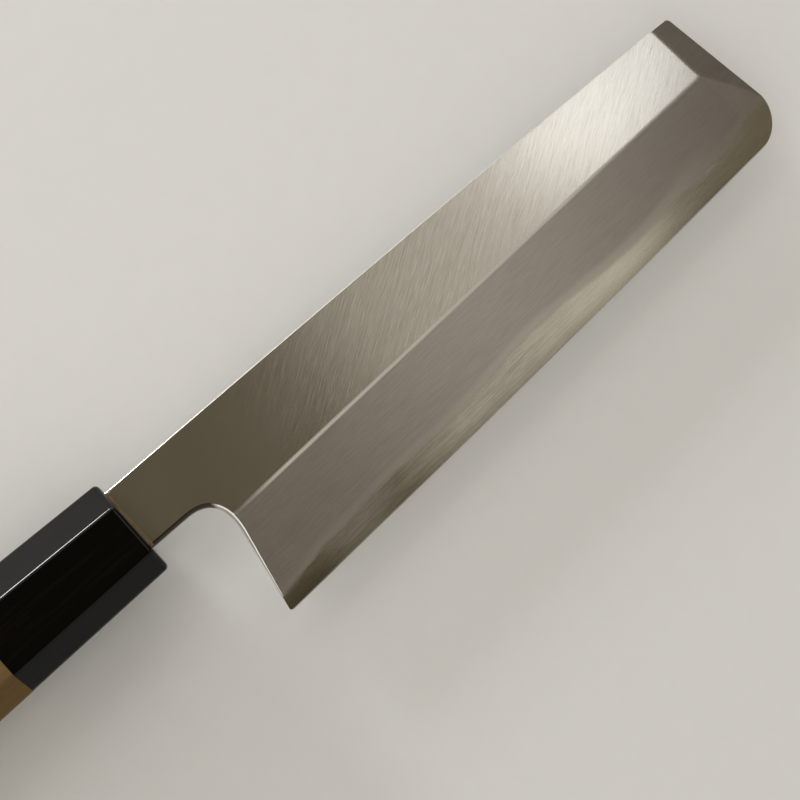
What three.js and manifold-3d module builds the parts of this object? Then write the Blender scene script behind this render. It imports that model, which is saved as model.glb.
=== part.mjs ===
// Usuba: a single-bevel vegetable knife with a laminated blade, a horn ferrule and a wooden handle.
// Millimetres. The knife lies flat with its bevel side up: +X runs along the handle to the tip,
// +Y points to the spine and +Z out of the bevel side.
import * as THREE from 'three';
import { mergeVertices } from 'three/addons/utils/BufferGeometryUtils.js';
import Module from 'manifold-3d';

const wasm = await Module();
wasm.setup();

// Blade outline, measured from the ferrule's mouth at x = 0 with the handle's axis at y = 0.
// The spine and the edge bow out a little between their ends.
const SPINE_LENGTH = 179.8;
const SPINE_OFFSET = 9.2;
const SPINE_RISE = 0.25;
const SPINE_CROWN = 0.48;
const EDGE_CROWN = 0.4;
const HEEL_HEIGHT = 45.9;
const TIP_HEIGHT = 40.15;
const NECK_LENGTH = 13;
const NECK_HEIGHT = 15.5;
const HEEL_LEAN = THREE.MathUtils.degToRad(9.9);
const TIP_LEAN = THREE.MathUtils.degToRad(12.1);
const CHOIL_ALONG_NECK = 8.8;
const CHOIL_ALONG_HEEL = 10.8;
const HEEL_RADIUS = 0.7;
const TIP_RADIUS = 9.2;

// Blade section: the flat thins towards the tip and the back is the level reference.
const BLADE_THICKNESS = 4;
const DISTAL_TAPER = 0.0042;
const BEVEL_AT_HEEL = 24.1;
const BEVEL_AT_TIP = 24.3;
const EDGE_LAND = 0.15;
const EASE_WIDTH = 0.55;
const EASE_DEPTH = 1.2;

// Tip bevel: its ridge crosses the flat this far behind the tip's end.
const TIP_BEVEL_AT_SPINE = 6.4;
const TIP_BEVEL_AT_RIDGE = 8;
const TIP_BEVEL_ANGLE = THREE.MathUtils.degToRad(10.5);

// Lamination and the hollow-ground back.
const STEEL_THICKNESS = 1.2;
const HOLLOW_DEPTH = 0.35;
const HOLLOW_RIM = 5;
const HOLLOW_END_RIM = 8;
const HOLLOW_SLOPE = 9;
const HOLLOW_RADIUS = 12;

// Tang, with its square shoulders set just inside the ferrule.
const SHOULDER_DEPTH = 2;
const TANG_LENGTH = 95;
const TANG_ROOT_HEIGHT = 8.5;
const TANG_END_HEIGHT = 4.5;
const TANG_ROOT_THICKNESS = 2.4;
const TANG_END_THICKNESS = 1.8;
const TANG_LIFT = 0.15;

// Handle: an octagon that grows steadily from the mouth to the butt.
const HANDLE_LENGTH = 136;
const FERRULE_LENGTH = 36.2;
const FRONT_HEIGHT = 23.5;
const FRONT_WIDTH = 18.9;
const BUTT_HEIGHT = 28.7;
const BUTT_WIDTH = 23.1;
const SPINE_SIDE_CORNER = 6.7;
const EDGE_SIDE_CORNER = 4.8;
const FACET_ROUND = 0.6;
const MOUTH_CHAMFER = 1.1;
const BUTT_CHAMFER = 1.2;

// Joints inside the handle.
const TENON_DIAMETER = 12.5;
const TENON_LENGTH = 18;
const SEAL_WIDTH = 0.7;
const SEAL_BEAD = 0.6;
const SEAL_LIP = 0.2;
const FIT_GAP = 0.3;
const END_GAP = 0.8;

// How finely round forms are cut into flats, how far the cutting shapes run past what they cut,
// and how near two points are when they count as one.
const ARC_STEPS = 8;
const EASE_STEPS = 3;
const HOLLOW_STEPS = 4;
const GRIND_STATIONS = 12;
const TENON_SIDES = 32;
const CUT_REACH = 60;
const PAST_RIDGE = 0.4;
const PAST_EDGE = 0.6;
const MERGE_DISTANCE = 1e-4;
const SAME_POINT = 1e-6;

const BACK_Z = -BLADE_THICKNESS / 2;
const WELD_Z = BACK_Z + STEEL_THICKNESS;
const EDGE_Z = BACK_Z + EDGE_LAND;
const NECK_LOW = SPINE_OFFSET - NECK_HEIGHT;

const flatZ = (x) => BLADE_THICKNESS / 2 - DISTAL_TAPER * x;

// The outline's virtual corners, before the choil and the tip are rounded.
const spineTip = new THREE.Vector2(SPINE_LENGTH, SPINE_OFFSET + SPINE_RISE);
const tipEndX = (y) => spineTip.x + (spineTip.y - y) * Math.tan(TIP_LEAN);
const edgeTip = new THREE.Vector2(tipEndX(spineTip.y - TIP_HEIGHT), spineTip.y - TIP_HEIGHT);
const heel = new THREE.Vector2(NECK_LENGTH, SPINE_OFFSET - HEEL_HEIGHT);
const choil = new THREE.Vector2(NECK_LENGTH + (HEEL_HEIGHT - NECK_HEIGHT) * Math.tan(HEEL_LEAN), NECK_LOW);

// The edge and the ridge along the blade. The ridge is straight, the edge bows by its crown.
const along = (x, atHeel, atTip) => THREE.MathUtils.mapLinear(x, heel.x, edgeTip.x, atHeel, atTip);
const chordY = (x) => along(x, heel.y, edgeTip.y);
const edgeY = (x) => chordY(x) - 4 * EDGE_CROWN * along(x, 0, 1) * along(x, 1, 0);
const ridgeY = (x) => chordY(x) + along(x, BEVEL_AT_HEEL, BEVEL_AT_TIP);

// A closed geometry with its shared points merged becomes a solid that can be joined and cut.
function solid(geometry) {
  const bare = geometry.index ? geometry.toNonIndexed() : geometry.clone();
  bare.deleteAttribute('normal');
  bare.deleteAttribute('uv');
  const merged = mergeVertices(bare, MERGE_DISTANCE);
  return new wasm.Manifold(new wasm.Mesh({
    numProp: 3,
    vertProperties: new Float32Array(merged.attributes.position.array),
    triVerts: new Uint32Array(merged.index.array),
  }));
}

function piece(name, body, material) {
  const { vertProperties, triVerts } = body.getMesh();
  const geometry = new THREE.BufferGeometry();
  geometry.setAttribute('position', new THREE.BufferAttribute(vertProperties, 3));
  geometry.setIndex(new THREE.BufferAttribute(triVerts, 1));
  geometry.computeVertexNormals();
  const mesh = new THREE.Mesh(geometry, material);
  mesh.name = name;
  return mesh;
}

// A box between two opposite corners.
function block(low, high) {
  const size = new THREE.Vector3().subVectors(high, low);
  const middle = new THREE.Vector3().addVectors(low, high).multiplyScalar(0.5);
  return solid(new THREE.BoxGeometry(size.x, size.y, size.z).translate(middle.x, middle.y, middle.z));
}

// A skin over sections with equal point counts, closed at both ends.
// Each section is convex and runs anticlockwise seen from +X, and the sections go towards +X.
function loft(sections) {
  const count = sections[0].length;
  const positions = sections.flat().flatMap((p) => [p.x, p.y, p.z]);
  const faces = [];
  const last = (sections.length - 1) * count;
  for (let s = 0; s < last; s += count) {
    for (let i = 0; i < count; i += 1) {
      const j = (i + 1) % count;
      faces.push(s + i, s + j, s + count + j);
      faces.push(s + i, s + count + j, s + count + i);
    }
  }
  for (let i = 1; i < count - 1; i += 1) {
    faces.push(0, i + 1, i);
    faces.push(last, last + i, last + i + 1);
  }
  const geometry = new THREE.BufferGeometry();
  geometry.setAttribute('position', new THREE.Float32BufferAttribute(positions, 3));
  geometry.setIndex(faces);
  return solid(geometry);
}

// An arc of this radius round a corner, from the end of one side to the start of the next.
function roundCorner(shape, point, back, on, radius) {
  const half = Math.acos(back.dot(on)) / 2;
  const start = point.clone().addScaledVector(back, radius / Math.tan(half));
  const end = point.clone().addScaledVector(on, radius / Math.tan(half));
  const centre = back.clone().add(on).normalize().multiplyScalar(radius / Math.sin(half)).add(point);
  const clockwise = start.clone().sub(centre).cross(end.clone().sub(centre)) < 0;
  const from = start.sub(centre).angle();
  const to = end.sub(centre).angle();
  shape.absarc(centre.x, centre.y, radius, from, to, clockwise);
}

// A flat outline through corners, anticlockwise. A corner has a rounding radius, or a curve that
// reaches this far back and on along its two sides, and the side before it may bow out by a crown.
function outline(corners) {
  const shape = new THREE.Shape();
  corners.forEach(({ point, radius = 0, reach = [0, 0], crown = 0 }, i) => {
    const before = corners[(i + corners.length - 1) % corners.length].point;
    const after = corners[(i + 1) % corners.length].point;
    const back = before.clone().sub(point).normalize();
    const on = after.clone().sub(point).normalize();
    const half = Math.acos(back.dot(on)) / 2;
    const start = point.clone().addScaledVector(back, reach[0] + radius / Math.tan(half));
    if (i === 0) shape.moveTo(start.x, start.y);
    else if (crown === 0) shape.lineTo(start.x, start.y);
    else {
      const bow = shape.currentPoint.clone().lerp(start, 0.5);
      bow.addScaledVector(new THREE.Vector2(-back.y, back.x), 2 * crown);
      shape.quadraticCurveTo(bow.x, bow.y, start.x, start.y);
    }
    if (radius > 0) roundCorner(shape, point, back, on, radius);
    if (reach[1] > 0) {
      const end = point.clone().addScaledVector(on, reach[1]);
      shape.quadraticCurveTo(point.x, point.y, end.x, end.y);
    }
  });
  shape.closePath();
  return shape;
}

// The outline's own points, each once.
function loop(shape) {
  const points = shape.getPoints(1);
  return points.filter((p, i) => p.distanceTo(points[(i + 1) % points.length]) > SAME_POINT);
}

// The forged blank: the outline with its upper edges eased, thinned evenly towards the tip.
function bladeBlank() {
  const butt = -SHOULDER_DEPTH;
  const shape = outline([
    { point: new THREE.Vector2(butt, NECK_LOW) },
    { point: choil, reach: [CHOIL_ALONG_NECK, CHOIL_ALONG_HEEL] },
    { point: heel, radius: HEEL_RADIUS },
    { point: edgeTip, radius: TIP_RADIUS, crown: EDGE_CROWN },
    { point: spineTip },
    { point: new THREE.Vector2(butt, SPINE_OFFSET), crown: SPINE_CROWN },
  ]);
  const geometry = new THREE.ExtrudeGeometry(shape, {
    depth: BLADE_THICKNESS,
    curveSegments: ARC_STEPS,
    bevelThickness: EASE_DEPTH,
    bevelSize: EASE_WIDTH,
    bevelOffset: -EASE_WIDTH,
    bevelSegments: EASE_STEPS,
  });
  geometry.translate(0, 0, -BLADE_THICKNESS / 2 - EASE_DEPTH);
  const points = geometry.attributes.position;
  for (let i = 0; i < points.count; i += 1) {
    const z = points.getZ(i);
    if (z > 0) points.setZ(i, z - DISTAL_TAPER * points.getX(i));
  }
  const below = block(
    new THREE.Vector3(-CUT_REACH, -CUT_REACH - HEEL_HEIGHT, BACK_Z - CUT_REACH),
    new THREE.Vector3(edgeTip.x + CUT_REACH, spineTip.y + CUT_REACH, BACK_Z),
  );
  return solid(geometry).subtract(below);
}

// The stone's path along the main bevel: above the line from the ridge to the edge at every station.
function bevelGrind() {
  const sections = [];
  const start = heel.x - CUT_REACH / 2;
  const end = edgeTip.x + CUT_REACH / 2;
  for (let k = 0; k <= GRIND_STATIONS; k += 1) {
    const x = THREE.MathUtils.lerp(start, end, k / GRIND_STATIONS);
    const ridge = new THREE.Vector2(ridgeY(x), flatZ(x));
    const edge = new THREE.Vector2(edgeY(x), EDGE_Z);
    const inner = edge.clone().lerp(ridge, 1 + PAST_RIDGE);
    const outer = edge.clone().lerp(ridge, -PAST_EDGE);
    sections.push([
      new THREE.Vector3(x, outer.x, outer.y),
      new THREE.Vector3(x, inner.x, inner.y),
      new THREE.Vector3(x, inner.x, CUT_REACH),
      new THREE.Vector3(x, outer.x, CUT_REACH),
    ]);
  }
  return loft(sections);
}

// Everything above the tip bevel's plane, which tilts down about its ridge towards the tip's end.
function tipGrind() {
  const upper = new THREE.Vector2(spineTip.x - TIP_BEVEL_AT_SPINE, spineTip.y);
  const lowerY = ridgeY(spineTip.x);
  const lower = new THREE.Vector2(tipEndX(lowerY) - TIP_BEVEL_AT_RIDGE, lowerY);
  const ridgeLine = new THREE.Vector3(upper.x - lower.x, upper.y - lower.y, flatZ(upper.x) - flatZ(lower.x));
  const across = ridgeLine.normalize();
  const level = new THREE.Vector3(across.y, -across.x, 0).normalize();
  const down = level.clone().applyAxisAngle(across, TIP_BEVEL_ANGLE);
  const normal = new THREE.Vector3().crossVectors(down, across).normalize();
  const box = new THREE.BoxGeometry(CUT_REACH, 2 * CUT_REACH, CUT_REACH);
  box.translate(0, 0, CUT_REACH / 2);
  box.applyMatrix4(new THREE.Matrix4().makeBasis(down, across, normal));
  box.translate(lower.x, lower.y, flatZ(lower.x));
  return solid(box);
}

// The shallow hollow ground into the back, inside a flat rim.
function backHollow() {
  const inside = (corner, dx, dy) => ({
    point: new THREE.Vector2(corner.x + dx, corner.y + dy),
    radius: HOLLOW_RADIUS,
  });
  const heelTop = new THREE.Vector2(choil.x, SPINE_OFFSET);
  const shape = outline([
    inside(heel, HOLLOW_END_RIM, HOLLOW_RIM),
    inside(edgeTip, -HOLLOW_END_RIM, HOLLOW_RIM),
    inside(spineTip, -HOLLOW_RIM, -HOLLOW_RIM),
    inside(heelTop, HOLLOW_RIM, -HOLLOW_RIM),
  ]);
  const geometry = new THREE.ExtrudeGeometry(shape, {
    depth: HOLLOW_DEPTH,
    curveSegments: ARC_STEPS,
    bevelThickness: HOLLOW_DEPTH,
    bevelSize: HOLLOW_SLOPE,
    bevelOffset: -HOLLOW_SLOPE,
    bevelSegments: HOLLOW_STEPS,
  });
  geometry.translate(0, 0, BACK_Z - HOLLOW_DEPTH);
  return solid(geometry);
}

// A rectangular bar along X whose height and thickness change evenly, standing on a level lower face.
function taperedBar(fromX, toX, fromSize, toSize, baseZ, baseGrow) {
  const section = (x, size) => [
    new THREE.Vector3(x, -size.x / 2, baseZ - baseGrow),
    new THREE.Vector3(x, size.x / 2, baseZ - baseGrow),
    new THREE.Vector3(x, size.x / 2, baseZ + size.y + baseGrow),
    new THREE.Vector3(x, -size.x / 2, baseZ + size.y + baseGrow),
  ];
  return loft([section(fromX, fromSize), section(toX, toSize)]);
}

const TANG_BASE_Z = WELD_Z + TANG_LIFT;
const TANG_END_X = -SHOULDER_DEPTH - TANG_LENGTH;
const tangSlope = (x, end, root) => THREE.MathUtils.mapLinear(x, TANG_END_X, -SHOULDER_DEPTH, end, root);
const tangHeight = (x) => tangSlope(x, TANG_END_HEIGHT, TANG_ROOT_HEIGHT);
const tangThickness = (x) => tangSlope(x, TANG_END_THICKNESS, TANG_ROOT_THICKNESS);

// The tang between two stations, grown by a gap on every side to make the hole that takes it.
function tang(fromX, toX, gap) {
  const size = (x) => new THREE.Vector2(tangHeight(x) + 2 * gap, tangThickness(x));
  return taperedBar(fromX, toX, size(fromX), size(toX), TANG_BASE_Z, gap);
}

function buildBlade() {
  const ground = bladeBlank().subtract(bevelGrind()).subtract(tipGrind());
  const weld = block(
    new THREE.Vector3(-CUT_REACH, -CUT_REACH - HEEL_HEIGHT, WELD_Z),
    new THREE.Vector3(edgeTip.x + CUT_REACH, spineTip.y + CUT_REACH, CUT_REACH),
  );
  const root = NECK_LENGTH / 2;
  const iron = ground.intersect(weld).add(tang(TANG_END_X, root, 0));
  const steel = ground.subtract(weld).subtract(backHollow());
  return { iron, steel };
}

// The handle's section at a station: an octagon with eased corners, wider corners on the spine side.
function octagon(x, inset) {
  const height = THREE.MathUtils.mapLinear(x, 0, -HANDLE_LENGTH, FRONT_HEIGHT, BUTT_HEIGHT) / 2 - inset;
  const width = THREE.MathUtils.mapLinear(x, 0, -HANDLE_LENGTH, FRONT_WIDTH, BUTT_WIDTH) / 2 - inset;
  const slant = inset * (Math.SQRT2 - 1) * Math.SQRT2;
  const spine = SPINE_SIDE_CORNER - slant;
  const edge = EDGE_SIDE_CORNER - slant;
  const corners = [
    [height, width - spine],
    [height - spine, width],
    [-height + edge, width],
    [-height, width - edge],
    [-height, -width + edge],
    [-height + edge, -width],
    [height - spine, -width],
    [height, -width + spine],
  ];
  const shape = outline(corners.map(([y, z]) => ({ point: new THREE.Vector2(y, z), radius: FACET_ROUND })));
  return loop(shape).map((p) => new THREE.Vector3(x, p.x, p.y));
}

const SEAL_LOW = new THREE.Vector2(NECK_LOW - FIT_GAP, BACK_Z - FIT_GAP);
const SEAL_HIGH = new THREE.Vector2(SPINE_OFFSET + FIT_GAP, -BACK_Z + FIT_GAP);
const RECESS_X = -SHOULDER_DEPTH - FIT_GAP;
const SHOULDER_X = -FERRULE_LENGTH;
const TENON_END_X = SHOULDER_X + TENON_LENGTH;

// A bar through the mouth, this much larger than the space left round the neck.
function mouthBar(fromX, toX, margin) {
  return block(
    new THREE.Vector3(fromX, SEAL_LOW.x - margin, SEAL_LOW.y - margin),
    new THREE.Vector3(toX, SEAL_HIGH.x + margin, SEAL_HIGH.y + margin),
  );
}

function roundBar(fromX, toX, radius) {
  const geometry = new THREE.CylinderGeometry(radius, radius, toX - fromX, TENON_SIDES);
  geometry.rotateZ(-Math.PI / 2);
  geometry.translate((fromX + toX) / 2, 0, 0);
  return solid(geometry);
}

function buildFerrule() {
  const body = loft([octagon(SHOULDER_X, 0), octagon(-MOUTH_CHAMFER, 0), octagon(0, MOUTH_CHAMFER)]);
  const socket = roundBar(SHOULDER_X - END_GAP, TENON_END_X + END_GAP, TENON_DIAMETER / 2 + FIT_GAP);
  const slot = tang(TENON_END_X, RECESS_X + END_GAP, FIT_GAP);
  const recess = mouthBar(RECESS_X, END_GAP, SEAL_WIDTH);
  return body.subtract(socket).subtract(slot).subtract(recess);
}

function buildHandle() {
  const butt = -HANDLE_LENGTH;
  const body = loft([octagon(butt, BUTT_CHAMFER), octagon(butt + BUTT_CHAMFER, 0), octagon(SHOULDER_X, 0)]);
  const tenon = roundBar(SHOULDER_X - TENON_LENGTH, TENON_END_X, TENON_DIAMETER / 2);
  const hole = tang(TANG_END_X - END_GAP, TENON_END_X + END_GAP, FIT_GAP);
  return body.add(tenon).subtract(hole);
}

// The seal fills the recess round the neck. Outside the mouth it ends in a sloping bead of resin
// along the flat and along the back, no taller than the neck.
function buildSeal() {
  const ring = mouthBar(RECESS_X, 0, SEAL_WIDTH);
  const opening = mouthBar(RECESS_X - END_GAP, SEAL_BEAD + END_GAP, 0);
  const section = (x, margin) => [
    new THREE.Vector3(x, NECK_LOW, SEAL_LOW.y - margin),
    new THREE.Vector3(x, SPINE_OFFSET, SEAL_LOW.y - margin),
    new THREE.Vector3(x, SPINE_OFFSET, SEAL_HIGH.y + margin),
    new THREE.Vector3(x, NECK_LOW, SEAL_HIGH.y + margin),
  ];
  const bead = loft([section(RECESS_X, SEAL_WIDTH), section(0, SEAL_WIDTH), section(SEAL_BEAD, SEAL_LIP)]);
  return ring.add(bead).subtract(opening);
}

const iron = new THREE.MeshStandardMaterial({ color: 0x9b948a, roughness: 0.42, metalness: 1 });
const steel = new THREE.MeshStandardMaterial({ color: 0xa9a291, roughness: 0.34, metalness: 1 });
const horn = new THREE.MeshStandardMaterial({ color: 0x0b0b0a, roughness: 0.16, metalness: 0 });
const wood = new THREE.MeshStandardMaterial({ color: 0xc9ad78, roughness: 0.6, metalness: 0 });
const resin = new THREE.MeshStandardMaterial({ color: 0xb18a50, roughness: 0.4, metalness: 0 });

const blade = buildBlade();
const knife = new THREE.Group();
knife.add(
  piece('blade_iron', blade.iron, iron),
  piece('edge_steel', blade.steel, steel),
  piece('horn_ferrule', buildFerrule(), horn),
  piece('wood_handle', buildHandle(), wood),
  piece('mouth_seal', buildSeal(), resin),
);

// The origin is the middle of the knife's lower side.
const box = new THREE.Box3().setFromObject(knife);
const centre = box.getCenter(new THREE.Vector3());
knife.position.set(-centre.x, -centre.y, -box.min.z);

export default knife;
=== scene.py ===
# %% [markdown]
# # A usuba, the square-tipped vegetable knife
# This lesson dresses a finished construction model of a usuba. The construction model gives every
# size and place. Blender adds what the eye reads first: the laminated blade's finishes, the horn,
# the wood and the resin. Lengths are written in millimetres, measured from the middle of the
# ferrule's mouth: x runs to the tip, y to the spine and z out of the bevelled side.

# %% Load the construction model
import math

import bmesh
import bpy
import numpy as np
from mathutils import Euler, Matrix, Vector, geometry


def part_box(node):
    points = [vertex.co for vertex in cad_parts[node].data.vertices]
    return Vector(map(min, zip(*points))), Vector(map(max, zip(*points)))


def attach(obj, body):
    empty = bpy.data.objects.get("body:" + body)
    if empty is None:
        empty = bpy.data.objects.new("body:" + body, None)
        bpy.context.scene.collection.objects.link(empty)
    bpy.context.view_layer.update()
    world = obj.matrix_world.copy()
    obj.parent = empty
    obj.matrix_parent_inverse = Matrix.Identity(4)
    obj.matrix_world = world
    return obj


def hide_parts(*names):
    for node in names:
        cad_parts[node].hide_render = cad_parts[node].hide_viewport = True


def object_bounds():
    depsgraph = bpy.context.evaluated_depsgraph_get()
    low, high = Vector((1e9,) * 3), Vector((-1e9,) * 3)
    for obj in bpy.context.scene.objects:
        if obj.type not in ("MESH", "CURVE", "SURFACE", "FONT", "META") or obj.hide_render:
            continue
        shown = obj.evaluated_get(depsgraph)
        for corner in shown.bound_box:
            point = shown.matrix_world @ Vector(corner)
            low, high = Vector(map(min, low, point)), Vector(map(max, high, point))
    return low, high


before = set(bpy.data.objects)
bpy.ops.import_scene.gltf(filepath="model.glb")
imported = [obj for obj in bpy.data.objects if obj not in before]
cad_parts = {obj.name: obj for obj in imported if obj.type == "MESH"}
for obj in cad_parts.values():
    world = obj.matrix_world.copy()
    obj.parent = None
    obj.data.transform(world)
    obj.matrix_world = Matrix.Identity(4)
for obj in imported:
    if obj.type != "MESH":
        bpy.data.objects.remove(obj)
cad_low, cad_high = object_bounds()
MM = 0.001
horn_low, horn_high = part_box("horn_ferrule")
MOUTH = Vector((horn_high.x, (horn_low.y + horn_high.y) / 2, (horn_low.z + horn_high.z) / 2))


def knife_box(node):
    """A construction node's corners in millimetres from the mouth."""
    return [(corner - MOUTH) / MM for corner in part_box(node)]


def place(x, y, z):
    """A point in millimetres from the mouth, as metres in the shared frame."""
    return MOUTH + Vector((x, y, z)) * MM


print("nodes:", sorted(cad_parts), "mouth at", tuple(round(c, 5) for c in MOUTH))

# %% [markdown]
# ## The camera
# The picture was taken from almost straight above the neck, with the blade running up to the right.
# A camera can be aimed with a constraint, but three angles and a place are plainer and stay put in
# every other view.

# %% Camera above the neck
CAMERA_PLACE = (3.81, -14.06, 246.46)
CAMERA_TURN = (8.334, -10.564, -42.248)
CAMERA_LENS = 50
CAMERA_SENSOR = 36
CAMERA_NEAR = 0.01

scene = bpy.context.scene
scene.view_settings.view_transform = "Standard"
lens = bpy.data.cameras.new("camera")
lens.lens = CAMERA_LENS
lens.sensor_width = CAMERA_SENSOR
lens.clip_start = CAMERA_NEAR
camera = bpy.data.objects.new("camera", lens)
scene.collection.objects.link(camera)
camera.location = place(*CAMERA_PLACE)
camera.rotation_euler = Euler([math.radians(angle) for angle in CAMERA_TURN])
scene.camera = camera
print("camera at", tuple(round(c, 4) for c in camera.location))

# %% [markdown]
# ## Node trees written as sums
# Every finish here is a small formula: a mask, a wave, a blend of two greys. Adding Math nodes one
# by one hides the formula, so one class wraps a socket and lets Python's own operators add the
# nodes. The same class builds the Geometry Nodes tree of the handle, because both kinds of tree
# share the Math node.


# %% A socket that Python can do maths on
class Wire:
    """One output socket of a node tree. Operators on it add Math nodes."""

    def __init__(self, socket):
        self.socket = socket
        self.tree = socket.id_data

    @staticmethod
    def node(tree, kind, settings=None, sockets=None, out=0):
        """Adds a node of this type: its settings first, then the values or links of its sockets."""
        made = tree.nodes.new(kind)
        for name, value in (settings or {}).items():
            if name == "stops":
                set_stops(made.color_ramp, value)
            else:
                setattr(made, name, value)
        for name, value in (sockets or {}).items():
            if isinstance(value, Wire):
                tree.links.new(value.socket, made.inputs[name])
            else:
                made.inputs[name].default_value = value
        return Wire(made.outputs[out])

    def math(self, operation, *values, first=None):
        """One Math node. A value given as first stands before this socket."""
        operands = [self, *values] if first is None else [first, self]
        settings = {"operation": operation}
        return Wire.node(self.tree, "ShaderNodeMath", settings, dict(enumerate(operands)))

    def __add__(self, other):
        return self.math("ADD", other)

    def __radd__(self, other):
        return self.math("ADD", other)

    def __sub__(self, other):
        return self.math("SUBTRACT", other)

    def __rsub__(self, other):
        return self.math("SUBTRACT", first=other)

    def __mul__(self, other):
        return self.math("MULTIPLY", other)

    def __rmul__(self, other):
        return self.math("MULTIPLY", other)

    def __truediv__(self, other):
        return self.math("DIVIDE", other)

    def __rtruediv__(self, other):
        return self.math("DIVIDE", first=other)

    def __neg__(self):
        return self.math("MULTIPLY", -1)

    def __abs__(self):
        return self.math("ABSOLUTE")


def set_stops(ramp, stops):
    """A colour ramp's stops: place and colour."""
    while len(ramp.elements) < len(stops):
        ramp.elements.new(1)
    for element, (position, colour) in zip(ramp.elements, stops):
        element.position = position
        element.color = (*colour, 1)


def sine(value):
    """The sine of a number, an array or a socket, so one formula serves the mesh and the paint."""
    return value.math("SINE") if isinstance(value, Wire) else np.sin(value)


def rise(value, low, high):
    """A smooth step from 0 at low to 1 at high, for a number, an array or a socket."""
    if isinstance(value, Wire):
        span = {"From Min": low, "From Max": high, "Value": value}
        return Wire.node(value.tree, "ShaderNodeMapRange", {"interpolation_type": "SMOOTHSTEP"}, span)
    share = np.clip((value - low) / (high - low), 0, 1)
    return share * share * (3 - 2 * share)


print("operators ready:", [name for name in vars(Wire) if name.startswith("__r")])

# %% [markdown]
# ## The blade's outline
# A usuba's blank is cut to a tall rectangle: a straight spine, an almost straight edge, a heel that
# leans back, a round notch for the finger (the choil) and a square tip with one large round corner.
# Smiths lay it out with a ruler and round templates, so it is drawn here as straight sides, three
# arcs and one free curve. The spine and the edge bow out by less than half a millimetre.

# %% Sizes of the outline
SPINE_LENGTH = 179.8
SPINE_OFFSET = 9.2
SPINE_RISE = 0.25
SPINE_CROWN = 0.48
EDGE_CROWN = 0.4
HEEL_HEIGHT = 45.9
TIP_HEIGHT = 40.15
NECK_LENGTH = 13
NECK_HEIGHT = 15.5
HEEL_SLOPE = math.tan(math.radians(9.9))
TIP_SLOPE = math.tan(math.radians(12.1))
CHOIL_ALONG_NECK = 8.8
CHOIL_ALONG_HEEL = 10.8
HEEL_RADIUS = 0.7
TIP_RADIUS = 9.2
SPINE_TIP_RADIUS = 1.3

iron_low, iron_high = knife_box("blade_iron")
steel_low, steel_high = knife_box("edge_steel")
SHOULDER_X = steel_low.x
NECK_LOW = SPINE_OFFSET - NECK_HEIGHT

neck_end = Vector((SHOULDER_X, NECK_LOW))
choil = Vector((NECK_LENGTH + (HEEL_HEIGHT - NECK_HEIGHT) * HEEL_SLOPE, NECK_LOW))
heel = Vector((NECK_LENGTH, SPINE_OFFSET - HEEL_HEIGHT))
spine_tip = Vector((SPINE_LENGTH, SPINE_OFFSET + SPINE_RISE))
edge_tip = Vector((SPINE_LENGTH + TIP_HEIGHT * TIP_SLOPE, spine_tip.y - TIP_HEIGHT))
spine_end = Vector((SHOULDER_X, SPINE_OFFSET))
print("heel at", tuple(heel), "tip corner at", tuple(edge_tip))


# %% Straight sides, bows and arcs
SIDE_STEP = 4


def straight(start, end):
    """Points along a straight side. The end is left to the next side."""
    count = max(1, round((end - start).length / SIDE_STEP))
    return [start.lerp(end, i / count) for i in range(count)]


def bow(start, control, end, count):
    """Points on a curve that leaves start towards control and reaches end from it."""
    shares = [i / count for i in range(count)]
    return [start.lerp(control, t).lerp(control.lerp(end, t), t) for t in shares]


def crowned(start, end, crown):
    """A side that bows out to its right by the crown."""
    along = end - start
    outward = Vector((along.y, -along.x)).normalized()
    return bow(start, (start + end) / 2 + outward * 2 * crown, end, round(along.length / SIDE_STEP))


def arc(corner, before, after, radius, count):
    """Points round a corner, its end included."""
    back = (before - corner).normalized()
    on = (after - corner).normalized()
    half = back.angle(on) / 2
    centre = corner + (back + on).normalized() * radius / math.sin(half)
    start = corner + back * radius / math.tan(half) - centre
    end = corner + on * radius / math.tan(half) - centre
    turn = start.angle_signed(end)
    return [centre + Matrix.Rotation(-turn * i / count, 2) @ start for i in range(count + 1)]


print("straight sides are cut about every", SIDE_STEP, "mm")

# %% [markdown]
# A sharp rim would cut the hand, so the maker rounds the spine, the neck and the choil and polishes
# them. How far the rounding reaches in, and how deep it goes down the side, changes along the
# outline: widest under the neck, almost nothing at the tip and none at the cutting edge. Each side
# below carries the two values for its two ends.

# %% The outline with its rounding
CHOIL_STEPS = 40
HEEL_STEPS = 6
TIP_STEPS = 36
SPINE_TIP_STEPS = 8

choil_start = choil - Vector((CHOIL_ALONG_NECK, 0))
choil_end = choil + (heel - choil).normalized() * CHOIL_ALONG_HEEL
heel_arc = arc(heel, choil, edge_tip, HEEL_RADIUS, HEEL_STEPS)
tip_arc = arc(edge_tip, heel, spine_tip, TIP_RADIUS, TIP_STEPS)
spine_arc = arc(spine_tip, edge_tip, spine_end, SPINE_TIP_RADIUS, SPINE_TIP_STEPS)
EASES = {
    "none": (0, 0),
    "neck": (0.95, 1.3),
    "choil": (0.85, 1.3),
    "heel": (0.3, 0.5),
    "tip": (0.14, 0.2),
    "spine": (0.5, 0.55),
}
SIDES = (
    (straight(neck_end, choil_start), "neck", "neck"),
    (bow(choil_start, choil, choil_end, CHOIL_STEPS), "neck", "choil"),
    (straight(choil_end, heel_arc[0]), "choil", "heel"),
    (heel_arc[:-1], "heel", "none"),
    (crowned(heel_arc[-1], tip_arc[0], EDGE_CROWN), "none", "none"),
    (tip_arc[:-1], "none", "tip"),
    (straight(tip_arc[-1], spine_arc[0]), "tip", "tip"),
    (spine_arc[:-1], "tip", "tip"),
    (crowned(spine_arc[-1], spine_end, SPINE_CROWN), "tip", "spine"),
    (straight(spine_end, neck_end), "none", "none"),
)
outline = np.array([tuple(point) for points, _, _ in SIDES for point in points])
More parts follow.
